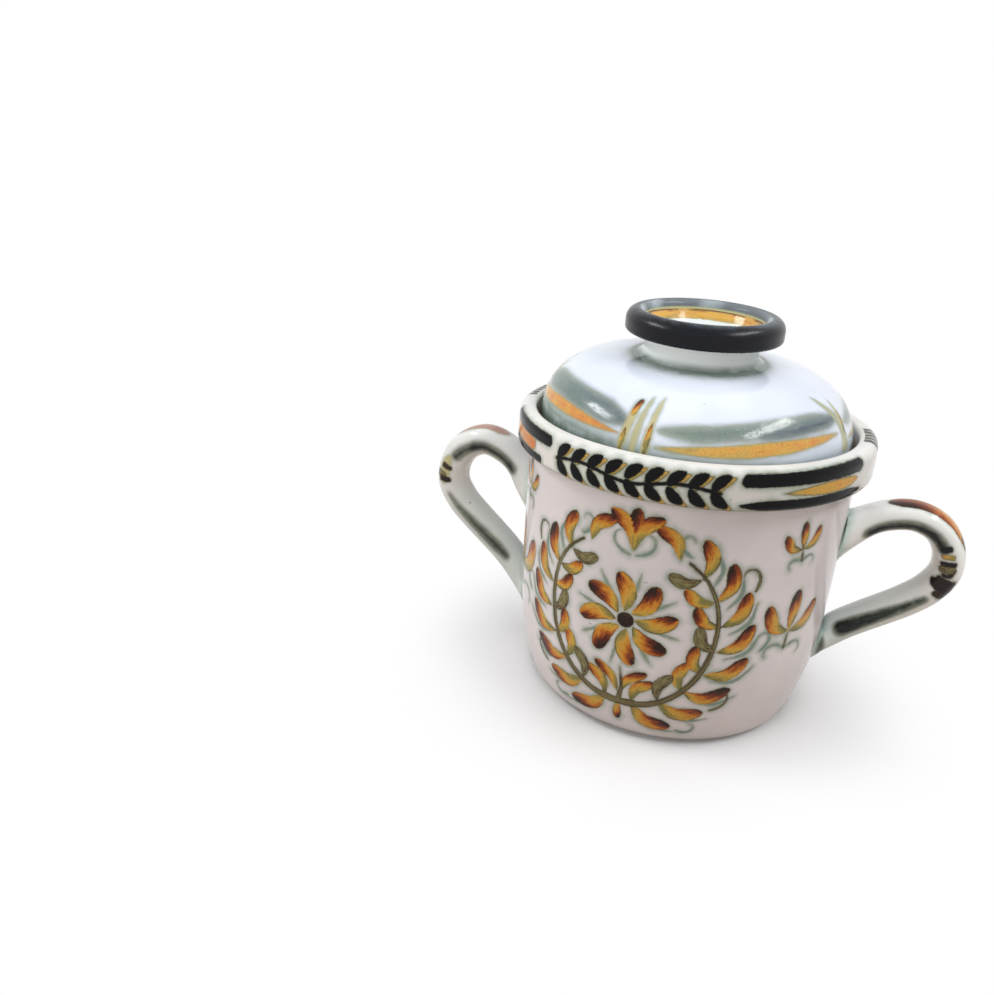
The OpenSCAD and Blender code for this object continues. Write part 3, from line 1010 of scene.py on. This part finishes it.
# Brushwork of each strap's two edges, in distances round it from its outer side and along
# it from the wall, and then the brushwork on its outer side
LEFT_EDGES = (
    ("shade", 1.16, 3.2, "dash", (11.4, 10.5), (11.0, 16), (11.0, 26), (11.2, 34), (10.6, 40.5)),
    ("line", 0.58, 4.2, "band", (8.6, 42.6), (8.4, 48.0), (8.8, 54.0)),
    ("dark", 0.55, 2.3, "dash", (7.6, 47.0), (10.2, 47.2)),
    ("dark", 0.85, 2.6, "dash", (6.0, 50.6), (8.4, 50.8)),
    ("dark", 0.4, 2.6, "dash", (7.4, 52.2), (10.4, 52.6)),
    ("shade", 0.96, 4.2, "tail", (11.4, 93.5), (10.8, 80), (10.4, 70), (9.6, 58.5)))
LEFT_OUTSIDE = (("line", 0.85, 4.2, "lens", (0.4, 20), (0.8, 25), (0.8, 31), (0.4, 37)),)
RIGHT_EDGES = (
    ("shade", 1.28, 3.9, "dash", (12.4, 9.0), (11.9, 14), (11.7, 23), (11.9, 31), (11.6, 37)),
    ("dark", 0.1, 2.3, "dash", (9.6, 37.4), (11.6, 37.2)),
    ("wash", 0.2, 1.9, "dash", (9.2, 40.4), (12.2, 39.8)),
    ("dark", 0.3, 1.8, "dash", (8.7, 43.0), (13.0, 42.5)),
    ("dark", 0.86, 3.0, "dash", (9.3, 44.9), (12.8, 44.7)),
    ("dark", 0.45, 1.6, "dash", (8.6, 45.0), (9.6, 47.0), (11.8, 47.0)),
    ("dark", 0.45, 2.4, "dash", (6.4, 49.7), (12.6, 49.0)),
    ("dark", 0.42, 3.8, "lens", (4.6, 52.0), (9.5, 51.8), (15.0, 50.8)),
    ("dark", 0.5, 2.4, "lens", (5.0, 54.0), (10.6, 54.4)),
    ("shade", 1.00, 6.2, "stem", (11.8, 86.5), (11.4, 76), (11.0, 68), (10.2, 58.5)),
    ("shade", 0.95, 2.4, "band", (7.0, 95.8), (10.0, 96.0), (13.0, 95.6)))
RIGHT_OUTSIDE = (
    ("amber", 0.84, 6.0, "lens", (0.6, 16.5), (1.0, 24), (1.4, 32), (1.4, 40)),
    ("dark", 0.5, 2.6, "leaf", (2.4, 36.0), (1.8, 40.5)))


def strap(name, side, shares, edges, outside, shade, soften, settings):
    """One strap handle: an oval carried along its middle line.

    The middle line is a Catmull-Rom curve through the shares. The oval stands square to the
    line, and turns upright and grows as the square of the nearness to the wall, with a
    last small fillet that falls off as a power of e. Halfway along it is thicker by a sine.
    Its outline is a superellipse, so its faces are a little flatter than an ellipse's.
    """
    handles, glaze = in_mm(settings.handles), settings.glaze
    radius = in_mm(settings.wall).radius
    reach, top, foot, thickness, belly, flare_up = (
        getattr(handles, key)[side > 0]
        for key in ("reach", "top", "foot", "thickness", "belly", "flare"))
    shares = np.asarray(shares)
    places = np.stack([radius + (reach - radius) * shares[:, 0],
                       foot + (top - foot) * shares[:, 1]], 1)
    middle, along = evenly(spline(places, steps=24), step=0.6)
    run = (along / along[-1])[:, None]
    along = along - along[np.argmax(middle[:, 0] >= radius)]
    way = np.gradient(middle, axis=0)
    way /= np.linalg.norm(way, axis=1, keepdims=True)
    out = np.maximum(0, middle[:, :1] - radius)
    flare = np.maximum(0, 1 - out / handles.flare_length) ** 2
    upright = np.where(run < 0.5, 1.0, -1.0)
    across = np.stack([-way[:, 1], way[:, 0]], 1) * (1 - flare)
    across += np.hstack([0 * upright, upright]) * flare
    across /= np.linalg.norm(across, axis=1, keepdims=True)
    fillet = 1.1 * np.exp(-out)
    thick = thickness + belly * np.sin(math.pi * run) + flare_up * flare * (run < 0.5)
    half_thick = thick / 2 + fillet
    half_wide = (handles.width + handles.spread * flare) / 2 + fillet
    turn = np.linspace(0, 2 * math.pi, num=96, endpoint=False)
    oval = np.stack([np.cos(turn), -np.sin(turn)])
    cos, sin = np.sign(oval) * np.abs(oval) ** 0.9
    grid = np.stack([side * (middle[:, :1] + across[:, :1] * half_thick * cos),
                     half_wide * sin, middle[:, 1:] + across[:, 1:] * half_thick * cos], -1)
    strokes = [stroke for way_round in (-1, 1)
               for stroke in laid(lambda a, s: (way_round * a, s), *edges)]
    strokes += laid(lambda a, s: (a, s), *outside)
    fields = painted(grid.shape[:2], slice(None), turn / (2 * math.pi) * ROUND_STRAP, along,
                     strokes, ROUND_STRAP)
    gap = np.hypot(grid[..., 0], grid[..., 1]) - radius
    painted_lower_shade = 0.35 * np.clip(along / 14 - 3.9, 0, 1)[:, None]
    # Glaze gathers where the strap leaves the wall; thinly along its lower end the same
    # grey-green is painted shade
    fields["pool"] = np.maximum(near(gap, 0.3, spread=1.7) * 0.8,
                                painted_lower_shade * near(gap, 0, spread=26))
    # The row at each end is repeated, because skin draws the last one into a pole
    rows = np.r_[0, np.arange(len(grid)), len(grid) - 1]
    fields = {key: values[rows] for key, values in fields.items()}
    # The glaze is scaled by shade: below 1, as on the left strap, that is painted shade
    settle(skin(name + "_strap", grid[rows], fields),
           painted_glaze(f"Painted glaze of the {name} strap", rgb(glaze.handle, shade), glaze,
                         thick=1.2, halo=(1.7, 0.35), pooled=glaze.mint, gloss=0.24,
                         soften=soften),
           "pot", "handle_" + name)


class SALTPOT_OT_handles(Operator):
    """Pull the two strap handles and lute them to the wall"""
    bl_idname = "saltpot.handles"
    bl_label = "Pull the handles"

    def execute(self, context):
        settings = context.scene.salt_pot
        # The left strap's glaze is darkened by the factor 0.93 as painted shade
        strap("left", -1, LEFT_SHARES, LEFT_EDGES, LEFT_OUTSIDE, 0.93, 1.75, settings)
        strap("right", 1, RIGHT_SHARES, RIGHT_EDGES, RIGHT_OUTSIDE, 1.0, 1.35, settings)
        return {"FINISHED"}


# Brushwork of the lid, in degrees round it and distances up it: three strokes side by side,
# two crossed ones, a band between clusters in shares of its span, and the wider left band
UPRIGHT = (
    ("line", 0.62, 2.6, "band", (-14.2, 2.4), (-13.6, 10), (-12.6, 18.5)),
    ("amber", 0.75, 2.0, "lens", (-12.2, 20.0), (-13.4, 13.6)),
    ("line", 0.55, 2.3, "tail", (-10.0, 2.4), (-9.6, 12), (-8.4, 21.5)),
    ("line", 0.64, 2.5, "tail", (-5.8, 2.4), (-5.3, 12), (-3.8, 22.5)),
    ("amber", 0.0, 1.5, "leaf", (-13.8, 10.0), (-14.3, 1.6)),
    ("amber", 0.12, 1.7, "leaf", (-5.0, 13.0), (-5.8, 1.6)))
CROSSED = (
    ("line", 0.42, 4.4, "tail", (73.8, 3.6), (71.4, 13.0), (66.2, 22.5)),
    ("line", 0.62, 3.2, "tail", (71.6, 3.6), (74.2, 12.0), (75.6, 19.5)),
    ("amber", 0.05, 1.3, "leaf", (75.8, 16.0), (73.6, 7.0)))
LEVEL = (
    ("wash", 0.50, 4.1, "leaf", (0.08, 5.7), (0.26, 6.5), (0.42, 7.3), (0.59, 8.2), (0.81, 8.9),
     (0.97, 9.0)),
    ("shade", 0.46, 4.6, "lens", (0.08, 10.9), (0.25, 11.4), (0.42, 12.9), (0.60, 14.0),
     (0.72, 14.6), (0.97, 14.6)),
    ("shade", 0.16, 3.6, "lens", (0.44, 12.2), (0.62, 12.9), (0.81, 13.6), (1.02, 14.0)))
LEVEL_LEFT = (
    ("wash", 0.70, 4.0, "leaf", (-84, 6.6), (-62, 7.8), (-48, 8.5), (-34, 8.2), (-15, 7.3)),
    ("shade", 0.42, 7.0, "lens", (-78, 12.8), (-58, 14.0), (-46, 14.2), (-28, 13.2),
     (-13, 11.0)))


def lid_strokes():
    """Brushwork of the lid: five clusters of upright strokes, three side by side or two
    crossed, with an ochre lens low down and a grey-green band above it between clusters."""
    strokes = []
    for start, span, rows in (
            (0, 1, UPRIGHT), (152, 1, UPRIGHT), (0, 1, CROSSED), (140, 1, CROSSED),
            (208, 1, CROSSED), (-9, 80, LEVEL), (71, 72, LEVEL), (143, 68, LEVEL),
            (211, 68, LEVEL), (0, 1, LEVEL_LEFT)):
        strokes += laid(lambda a, v: (math.radians(start + span * a) * LID_UNROLLED, v), *rows)
    return strokes


class SALTPOT_OT_lid(Operator):
    """Throw the lid: a hollow dome with an upright skirt and a bare seating rim"""
    bl_idname = "saltpot.lid"
    bl_label = "Throw the lid"

    def execute(self, context):
        settings = context.scene.salt_pot
        lid, knob, glaze = in_mm(settings.lid), in_mm(settings.knob), settings.glaze
        radius, base, rim_edge = lid.radius, lid.base, lid.radius - lid.rim
        shoulder = base + lid.skirt

        def dome(edge, rise, last):
            """Dome from its edge in to the radius last: r is the edge times the root of a
            cosine, and the height grows as the sine of the same angle."""
            angle = np.linspace(0, math.acos(min(1, (last / edge) ** 2)), num=160)
            return np.stack([edge * np.sqrt(np.cos(angle)), shoulder + rise * np.sin(angle)], 1)

        rim = rounded([[rim_edge, base], [radius, base], [radius, shoulder]],
                      radii=[0.0, 1.2, 0.0])
        rim = fill_in(rim, step=0.6)
        outside = dome(radius, lid.rise, last=knob.neck_radius + knob.neck_fillet)
        outside, arc = evenly(outside, step=0.62)
        top = fill_in([outside[-1], [0, outside[-1, 1]]], step=6)
        inside = dome(radius - lid.wall, lid.rise - lid.wall, last=0.0)
        inside = evenly(inside, step=2.2)[0][::-1]
        seat = [[radius - lid.wall, base + 2.5]]
        # The outline runs from the axis under the dome to the axis on top of it
        outline = distinct(np.vstack([inside, seat, rim, outside, top]))
        turn = columns(front=330, back=150)
        grid = turned(outline, turn, LID_GIVE)
        rows = slice(len(inside) + 1, len(inside) + len(rim) + len(outside))
        v = np.concatenate([rim[:-1, 1] - shoulder, arc])
        fields = painted(grid.shape[:2], rows, turn * LID_UNROLLED, v, lid_strokes(),
                         2 * math.pi * LID_UNROLLED)
        # Glaze lies thick on the skirt, most of all at the left, and round the knob's foot, wider
        # in front; this grey-green is partly painted shade, low on the skirt in the gallery and
        # round the foot under the knob
        front, left = 0.6 + 0.4 * np.cos(turn), np.maximum(0, -np.sin(turn))
        v = v[:, None]
        skirt = np.clip((7.6 + 2.4 * left - v) / 4.4, 0, 1) * (0.72 - 0.34 * np.sin(turn))
        foot = 1.2 * near(v, arc[-1] - 0.5, spread=5.5 * front ** 2)
        fields["pool"][rows] = np.maximum(skirt, foot)
        fields["bare"][(outline[:, 1] < base + 0.2) & (outline[:, 0] < radius - 0.8)] = 1.0
        settle(skin("thrown_lid", askew(grid, lid), fields),
               painted_glaze("Painted lid glaze", glaze.lid, glaze, soften=1.9, gloss=0.45,
                             rim_share=0.2),
               "lid", "lid_dome")
        return {"FINISHED"}


def hollow_strokes():
    """Brushwork inside the knob: an ochre band under the ring, with a broken brown edge."""
    strokes = []
    for start in range(10, 370, 72):
        strokes += laid(
            lambda a, v: (math.radians(start + a) * HOLLOW_UNROLLED, v),
            ("wash", 0.45, 4.2, "dash", (-6, 0.8), (20, 0.7), (42, 0.9), (78, 0.8)),
            ("line", 0.75, 2.2, "leaf", (-8, 0.7), (18, 0.9), (46, 0.6)),
            ("line", 0.98, 1.0, "band", (-10, 2.1), (22, 2.3), (52, 2.0)))
    return strokes


class SALTPOT_OT_neck(Operator):
    """Throw the hollow neck of the knob"""
    bl_idname = "saltpot.neck"
    bl_label = "Throw the knob's neck"

    def execute(self, context):
        settings = context.scene.salt_pot
        knob, glaze = in_mm(settings.knob), settings.glaze
        seat, rolled = NECK_LOW.z / MM, NECK_HIGH.z / MM
        ring_base, ring_top = RING_LOW.z / MM, RING_HIGH.z / MM
        inner = RING_HIGH.x / MM - knob.ring_width
        waist, fillet, flare = knob.neck_radius, knob.neck_fillet, knob.neck_flare
        floor, hollow = ring_top - knob.hollow, waist - knob.wall
        outside = spline([[waist + fillet, seat], [waist + 0.55 * fillet, seat + 0.3 * fillet],
                          [waist + 0.08 * fillet, seat + 0.75 * fillet],
                          [waist + 0.1, seat + 1.5 * fillet],
                          [waist + 0.45 * flare, ring_base - 0.9],
                          [waist + flare, ring_base]], steps=6)
        inside = spline([[inner, rolled], [inner - 0.35, rolled - 1.0],
                         [hollow + 2.1, floor + 4.2], [hollow, floor + 2.0],
                         [hollow - 1.6, floor + 0.5], [hollow - 4.0, floor]], steps=10)
        inside, depth = evenly(inside, step=0.45)
        under = fill_in([[0, seat], outside[0]], step=6)
        bottom = fill_in([inside[-1], [0, floor]], step=3)
        outline = distinct(np.vstack([under, outside, [[inner, ring_base]], inside, bottom]))
        turn = columns(front=190, back=190, edge=math.pi / 2)
        grid = turned(outline, turn, LID_GIVE)
        first = len(outline) - len(inside) - len(bottom) + 1
        rows = slice(first, first + len(inside))
        fields = painted(grid.shape[:2], rows, turn * HOLLOW_UNROLLED, 2.6 - depth,
                         hollow_strokes(), 2 * math.pi * HOLLOW_UNROLLED)
        fields["bloom"][rows] = -AWAY
        radius, height = outline.T
        # Glaze gathers in the fillet at the neck's foot, and a little under the ring
        pool = np.maximum(near(height, seat, spread=1.2) * 0.85 * (radius > waist - 0.5),
                          near(height, ring_base, spread=0.7) * 0.2 * (radius > waist))
        fields["pool"][:] = pool[:, None]
        settle(skin("knob_stem", askew(grid, in_mm(settings.lid)), fields),
               painted_glaze("Neck glaze", glaze.neck, glaze, ("wash", "line"), rim_share=0.0,
                             cover=0.95),
               "lid", "knob_neck")
        return {"FINISHED"}


class SALTPOT_OT_ring(Operator):
    """Roll the dark ring round the mouth of the knob"""
    bl_idname = "saltpot.ring"
    bl_label = "Roll the knob's ring"

    def execute(self, context):
        settings = context.scene.salt_pot
        knob = in_mm(settings.knob)
        base, top, outer = RING_LOW.z / MM, RING_HIGH.z / MM, RING_HIGH.x / MM
        inner = outer - knob.ring_width
        outline = rounded([[inner, base], [outer, base], [outer, top], [inner, top]],
                          radii=[0.3, 1.3, 4.0, 2.4], steps=12)
        outline = fill_in(outline, step=0.6, closed=True)
        turn = columns(front=150, back=150, edge=math.pi / 2)
        grid = turned(outline, turn, RING_GIVE)
        section = np.concatenate([outline - (0, base), 0 * outline[:, :1]], 1)
        section = np.broadcast_to(section[:, None], grid.shape)
        settle(skin("rolled_ring", askew(grid, in_mm(settings.lid)), {"section": section},
                    closed=True),
               ring_glaze("Blue-black ring glaze", settings.glaze, knob),
               "lid", "knob_ring")
        return {"FINISHED"}


# The stage

# Height of the point that the lamps stand round and shine at
MIDDLE = 0.09

# The camera as it was fitted: where it stands, and its right, up and back directions
CAMERA_PLACE = (0.034937, -0.265376, 0.176251)
CAMERA_AXES = ((0.919115, 0.392163, 0.03788), (-0.183111, 0.340038, 0.92241),
               (0.348860, -0.854737, 0.38434))


def around_pot(azimuth, elevation, distance):
    """A place about the pot: azimuth from the front towards +X, both in degrees."""
    a, e = math.radians(azimuth), math.radians(elevation)
    return (distance * math.sin(a) * math.cos(e), -distance * math.cos(a) * math.cos(e),
            MIDDLE + distance * math.sin(e))


def softbox(name, place, size, watts, mirrored):
    """An oblong lamp that shines at the pot; the glazes show its reflection when mirrored."""
    data = bpy.data.lights.new(name, "AREA")
    data.shape, data.size, data.size_y, data.energy = "RECTANGLE", size[0], size[1], watts
    lamp = bpy.data.objects.new(name, data)
    lamp.location, lamp.visible_glossy = place, mirrored
    away = Vector(place) - Vector((0.0, 0.0, MIDDLE))
    lamp.rotation_euler = away.to_track_quat("Z", "Y").to_euler()
    bpy.context.scene.collection.objects.link(lamp)


def lay_floor(stage):
    """A disc of rings about the axis. Rays that are seen directly find its pale colour,
    which turns to plain white away from the pot; the rest find the bounce colour."""
    turn = np.linspace(0, 2 * math.pi, num=96, endpoint=False)
    radius = np.array([0.0, 0.1, 0.3, 1.0, 3.0, 9.0])[:, None]
    points = np.stack([radius * np.cos(turn), radius * np.sin(turn), 0 * radius * turn], -1)
    ids = np.arange(points[..., 0].size).reshape(points.shape[:2])
    faces = np.stack([ids[:-1], ids[1:], np.roll(ids[1:], -1, 1), np.roll(ids[:-1], -1, 1)],
                     -1)[1:].reshape(-1, 4)
    mesh = bpy.data.meshes.new("floor")
    mesh.from_pydata(points.reshape(-1, 3).tolist(), [], faces.tolist() + [list(ids[1])])
    floor = bpy.data.objects.new("floor", mesh)
    bpy.context.scene.collection.objects.link(floor)

    b = Bench(bpy.data.materials.new("Pale floor"))
    x, y, _ = b.split(b.place())
    far = b.math("SQRT", b.add(b.times(x, x), b.times(y, y)))
    seen = b.seen()
    b.finish(b.over(stage.bounce, stage.floor, seen), 0.7, gloss=0.2)
    b.mixed(b.times(seen, b.smooth(far, 0.05, 0.112)), b.first("BSDF_PRINCIPLED").outputs[0],
            b.node("ShaderNodeEmission").outputs[0])
    mesh.materials.append(b.owner)


def light_room(strength):
    """A world that is white where it is seen directly, and lights the pot softly."""
    b = Bench(bpy.data.worlds.new("Room"))
    shades = (b.first("BACKGROUND"), b.node("ShaderNodeBackground"))
    for shade, level in zip(shades, (strength, 1.0)):
        shade.inputs["Color"].default_value = (1, 1, 1, 1)
        shade.inputs["Strength"].default_value = level
    b.mixed(b.seen(), shades[0].outputs[0], shades[1].outputs[0])
    bpy.context.scene.world = b.owner


class SALTPOT_OT_stage(Operator):
    """Lay a pale floor, light it softly and set the camera"""
    bl_idname = "saltpot.stage"
    bl_label = "Set the stage"

    def execute(self, context):
        scene, stage = context.scene, context.scene.salt_pot.stage
        lay_floor(stage)
        light_room(stage.room)
        for name, place, size, watts, mirrored in (
                ("overhead", (0.0, 0.10, 1.25), (1.0, 1.0), stage.overhead, False),
                ("left window", around_pot(-74, 40, 0.85), (0.32, 0.12), stage.left, True),
                ("right window", around_pot(89, 50, 0.85), (0.60, 0.11), stage.right, True),
                ("front window", around_pot(14, 13, 1.0), (0.9, 0.4), stage.front, False),
                ("side window", around_pot(-66, 5, 0.9), (0.5, 0.4), stage.side, False)):
            softbox(name, place, size, watts, mirrored)
        data = bpy.data.cameras.new("camera")
        data.lens, data.sensor_width = stage.lens, 36.0
        data.clip_start, data.clip_end = 0.01, 50.0
        camera = bpy.data.objects.new("camera", data)
        facing = Matrix(CAMERA_AXES).transposed().to_4x4()
        camera.matrix_world = Matrix.Translation(CAMERA_PLACE) @ facing
        scene.collection.objects.link(camera)
        scene.camera = camera
        scene.view_settings.view_transform = "Standard"
        return {"FINISHED"}


class SALTPOT_PT_panel(Panel):
    """The steps and the settings of the salt pot"""
    bl_idname = "SALTPOT_PT_panel"
    bl_label = "Salt pot"
    bl_space_type = "VIEW_3D"
    bl_region_type = "UI"
    bl_category = "Salt pot"

    def draw(self, context):
        for step in STEPS:
            self.layout.operator(step.bl_idname)
        settings = context.scene.salt_pot
        for entry in settings.bl_rna.properties:
            if entry.type != "POINTER" or entry.identifier == "rna_type":
                continue
            box = self.layout.box()
            box.label(text=entry.name)
            values = getattr(settings, entry.identifier)
            for value in values.bl_rna.properties:
                if value.identifier not in ("rna_type", "name"):
                    box.prop(values, value.identifier)


STEPS = (SALTPOT_OT_stage, SALTPOT_OT_wall, SALTPOT_OT_foot, SALTPOT_OT_collar,
         SALTPOT_OT_handles, SALTPOT_OT_lid, SALTPOT_OT_neck, SALTPOT_OT_ring)
CLASSES = (WallSettings, CollarSettings, HandleSettings, LidSettings, KnobSettings,
           GlazeSettings, StageSettings, SaltPotSettings, *STEPS, SALTPOT_PT_panel)


def register():
    for cls in CLASSES:
        bpy.utils.register_class(cls)
    bpy.types.Scene.salt_pot = group("Salt pot", "Sizes and colours of the salt pot",
                                     SaltPotSettings)


def unregister():
    del bpy.types.Scene.salt_pot
    for cls in reversed(CLASSES):
        bpy.utils.unregister_class(cls)


def main():
    register()
    for step in STEPS:
        family, name = step.bl_idname.split(".")
        done = getattr(getattr(bpy.ops, family), name)()
        if done != {"FINISHED"}:
            raise RuntimeError(f"{step.bl_label} did not finish")


if __name__ == "__main__":
    main()
